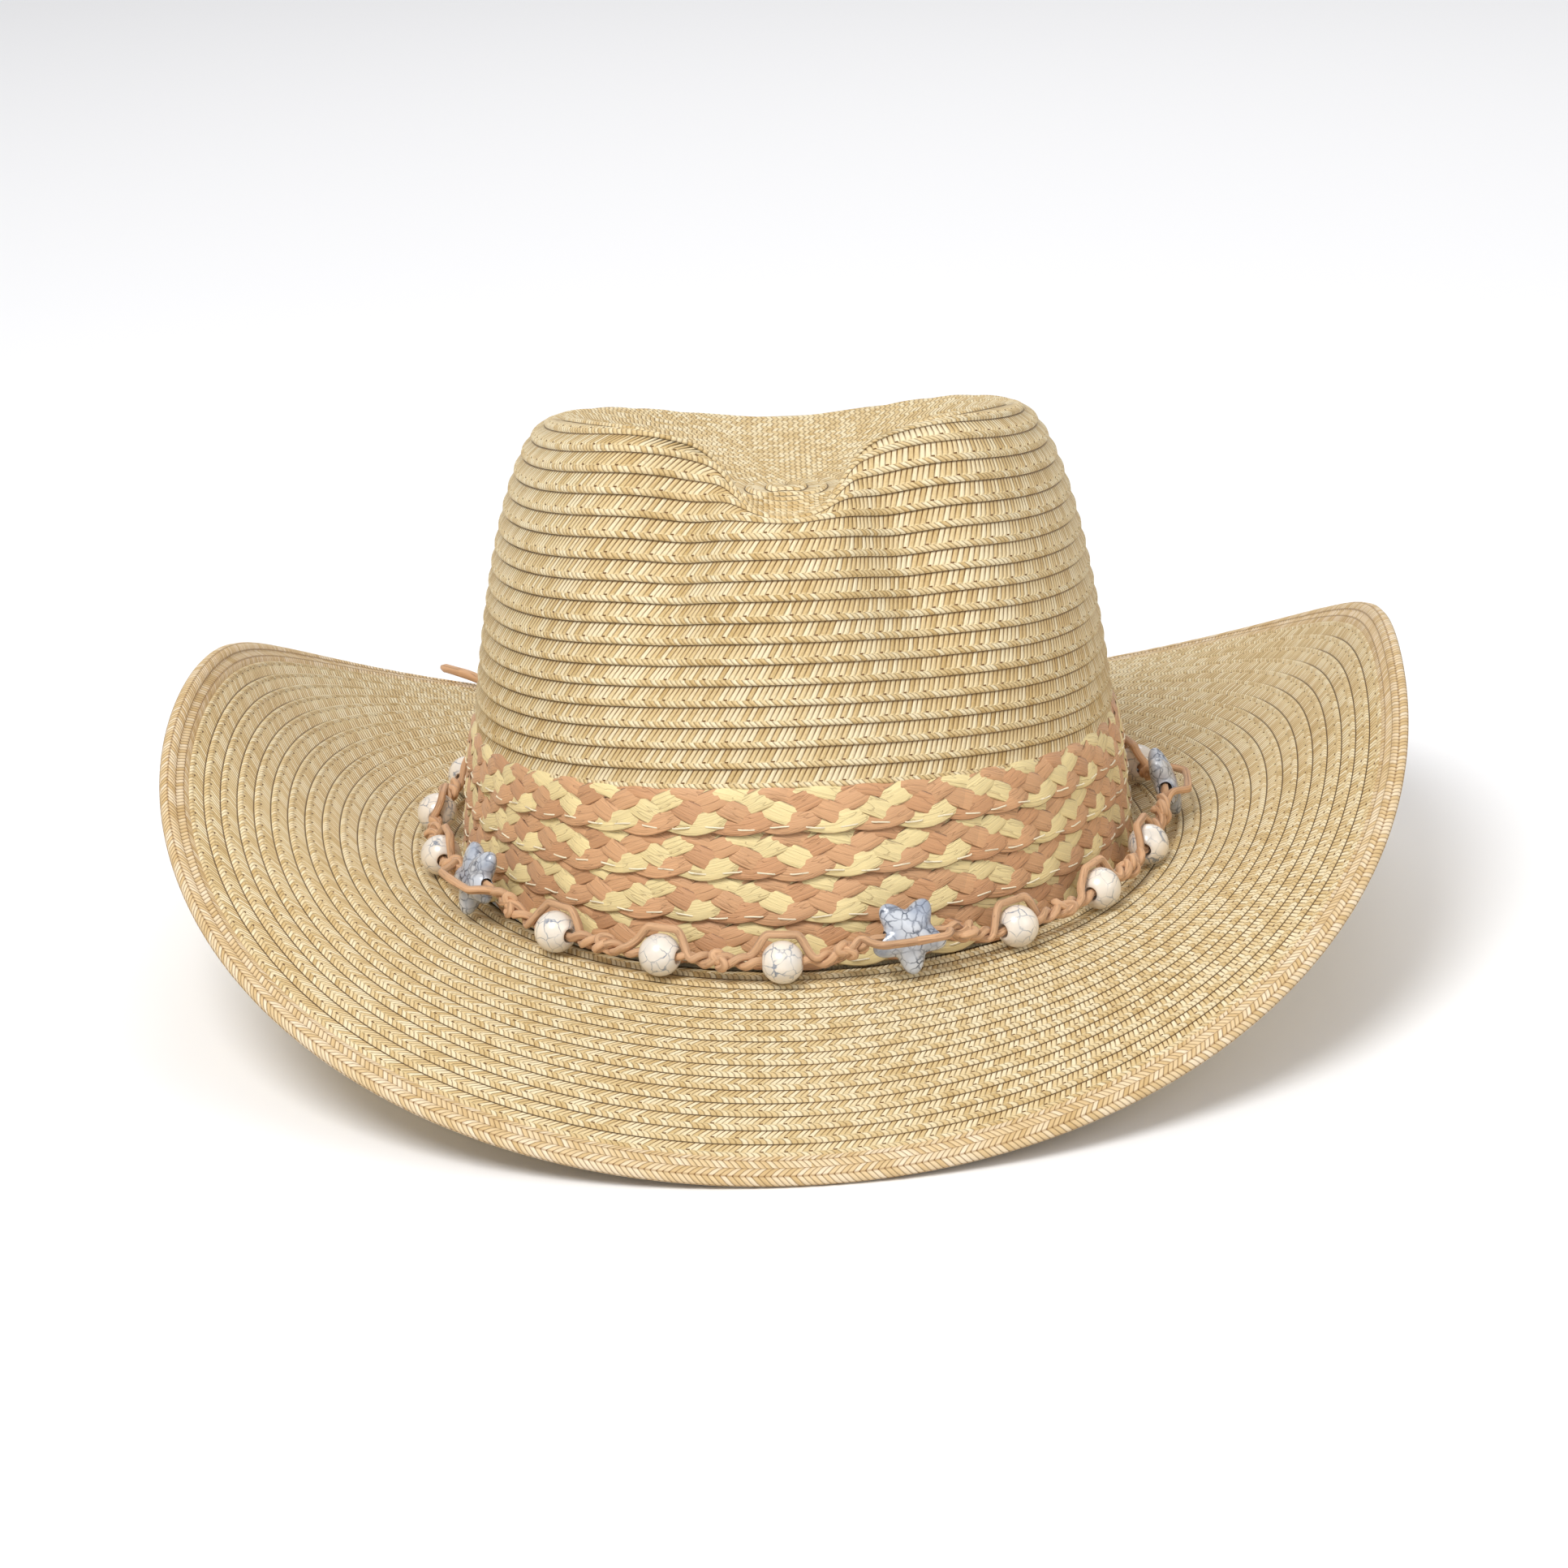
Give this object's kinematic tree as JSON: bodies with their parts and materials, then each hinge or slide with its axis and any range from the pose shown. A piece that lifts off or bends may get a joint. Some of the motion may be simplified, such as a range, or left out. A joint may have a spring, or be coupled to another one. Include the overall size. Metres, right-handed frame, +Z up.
{
  "type": "cowboy hat",
  "caption": "Woven straw western hat with a pinched crown, a curled brim, a plaited raffia hat band and a knotted string of round and star beads round its foot.",
  "frame": {"origin": "middle of the hat's footprint, on the surface that the brim's front and back edges stand on", "axes": "+Z up, the front of the hat faces -Y, +X is the wearer's left when worn (right-hand side when looking at the front)"},
  "size_m": [0.3037, 0.349, 0.1409],
  "materials": {
    "straw_braid": "matte",
    "raffia": "satin",
    "raffia_cord": "satin",
    "round_stone": "polished",
    "star_stone": "polished",
    "sweatband_cloth": "matte",
    "wire_steel": "satin"
  },
  "bodies": {
    "hat": {"crown": "straw_braid", "brim": "straw_braid", "brim_edge_row": "straw_braid", "brim_wire": "wire_steel", "wire_sleeve": "wire_steel", "sweatband": "sweatband_cloth", "raffia_plait_1": "raffia", "raffia_plait_2": "raffia", "raffia_plait_3": "raffia", "raffia_plait_4": "raffia"},
    "bead_string": {"cord_loop": "raffia_cord", "tie_tail_left": "raffia_cord", "tie_tail_right": "raffia_cord"},
    "star_bead_1": {"star_bead_1": "star_stone"},
    "round_bead_1": {"round_bead_1": "round_stone"},
    "round_bead_2": {"round_bead_2": "round_stone"},
    "round_bead_3": {"round_bead_3": "round_stone"},
    "star_bead_2": {"star_bead_2": "star_stone"},
    "round_bead_4": {"round_bead_4": "round_stone"},
    "round_bead_5": {"round_bead_5": "round_stone"},
    "round_bead_6": {"round_bead_6": "round_stone"},
    "star_bead_3": {"star_bead_3": "star_stone"},
    "round_bead_7": {"round_bead_7": "round_stone"},
    "round_bead_8": {"round_bead_8": "round_stone"},
    "round_bead_9": {"round_bead_9": "round_stone"},
    "star_bead_4": {"star_bead_4": "star_stone"},
    "round_bead_10": {"round_bead_10": "round_stone"},
    "round_bead_11": {"round_bead_11": "round_stone"},
    "round_bead_12": {"round_bead_12": "round_stone"},
    "star_bead_5": {"star_bead_5": "star_stone"},
    "round_bead_13": {"round_bead_13": "round_stone"},
    "round_bead_14": {"round_bead_14": "round_stone"},
    "round_bead_15": {"round_bead_15": "round_stone"}
  },
  "joints": [
    {"name": "bead_string_lift", "type": "slide", "parent": "hat", "child": "bead_string", "axis": [0, 0, 1], "range_m": [0, 0.16]},
    {"name": "star_bead_1_rock", "type": "hinge", "parent": "bead_string", "child": "star_bead_1", "pos_m": [0.02502, -0.10465, 0.03194], "axis": [0.9524, 0.3047, 0.0077], "range_deg": [0, 40]},
    {"name": "round_bead_1_spin", "type": "hinge", "parent": "bead_string", "child": "round_bead_1", "pos_m": [0.05082, -0.08972, 0.02758], "axis": [0.7902, 0.6127, 0.0142], "continuous": true},
    {"name": "round_bead_2_spin", "type": "hinge", "parent": "bead_string", "child": "round_bead_2", "pos_m": [0.07178, -0.0672, 0.02807], "axis": [0.5612, 0.8275, 0.0166], "continuous": true},
    {"name": "round_bead_3_spin", "type": "hinge", "parent": "bead_string", "child": "round_bead_3", "pos_m": [0.08572, -0.03839, 0.02851], "axis": [0.3061, 0.952, 0.0087], "continuous": true},
    {"name": "star_bead_2_rock", "type": "hinge", "parent": "bead_string", "child": "star_bead_2", "pos_m": [0.09258, -0.00612, 0.03364], "axis": [0.0438, 0.9989, -0.0133], "range_deg": [0, 40]},
    {"name": "round_bead_4_spin", "type": "hinge", "parent": "bead_string", "child": "round_bead_4", "pos_m": [0.08859, 0.02676, 0.02755], "axis": [-0.2188, 0.975, -0.0388], "continuous": true},
    {"name": "round_bead_5_spin", "type": "hinge", "parent": "bead_string", "child": "round_bead_5", "pos_m": [0.07728, 0.05706, 0.02612], "axis": [-0.4773, 0.8775, -0.0459], "continuous": true},
    {"name": "round_bead_6_spin", "type": "hinge", "parent": "bead_string", "child": "round_bead_6", "pos_m": [0.05849, 0.08197, 0.02475], "axis": [-0.7183, 0.6945, -0.0403], "continuous": true},
    {"name": "star_bead_3_rock", "type": "hinge", "parent": "bead_string", "child": "star_bead_3", "pos_m": [0.03428, 0.09995, 0.02846], "axis": [-0.9087, 0.4165, -0.0289], "range_deg": [0, 40]},
    {"name": "round_bead_7_spin", "type": "hinge", "parent": "bead_string", "child": "round_bead_7", "pos_m": [0.00564, 0.1061, 0.02324], "axis": [-0.998, 0.0624, -0.0052], "continuous": true},
    {"name": "round_bead_8_spin", "type": "hinge", "parent": "bead_string", "child": "round_bead_8", "pos_m": [-0.02308, 0.1025, 0.02346], "axis": [-0.9523, -0.3046, 0.0196], "continuous": true},
    {"name": "round_bead_9_spin", "type": "hinge", "parent": "bead_string", "child": "round_bead_9", "pos_m": [-0.04922, 0.08862, 0.02436], "axis": [-0.7897, -0.6123, 0.0399], "continuous": true},
    {"name": "star_bead_4_rock", "type": "hinge", "parent": "bead_string", "child": "star_bead_4", "pos_m": [-0.07109, 0.06671, 0.03075], "axis": [-0.5605, -0.8264, 0.0538], "range_deg": [0, 40]},
    {"name": "round_bead_10_spin", "type": "hinge", "parent": "bead_string", "child": "round_bead_10", "pos_m": [-0.08412, 0.03729, 0.02729], "axis": [-0.3058, -0.9512, 0.042], "continuous": true},
    {"name": "round_bead_11_spin", "type": "hinge", "parent": "bead_string", "child": "round_bead_11", "pos_m": [-0.08988, 0.00497, 0.02829], "axis": [-0.0438, -0.9989, 0.0167], "continuous": true},
    {"name": "round_bead_12_spin", "type": "hinge", "parent": "bead_string", "child": "round_bead_12", "pos_m": [-0.08699, -0.02786, 0.02843], "axis": [0.219, -0.9757, -0.0053], "continuous": true},
    {"name": "star_bead_5_rock", "type": "hinge", "parent": "bead_string", "child": "star_bead_5", "pos_m": [-0.07665, -0.05869, 0.03306], "axis": [0.4777, -0.8783, -0.0169], "range_deg": [0, 40]},
    {"name": "round_bead_13_spin", "type": "hinge", "parent": "bead_string", "child": "round_bead_13", "pos_m": [-0.05689, -0.08307, 0.02772], "axis": [0.7189, -0.695, -0.0121], "continuous": true},
    {"name": "round_bead_14_spin", "type": "hinge", "parent": "bead_string", "child": "round_bead_14", "pos_m": [-0.03222, -0.10005, 0.0274], "axis": [0.909, -0.4166, -0.0087], "continuous": true},
    {"name": "round_bead_15_spin", "type": "hinge", "parent": "bead_string", "child": "round_bead_15", "pos_m": [-0.00404, -0.1072, 0.02723], "axis": [0.998, -0.0624, -0.0027], "continuous": true}
  ]
}
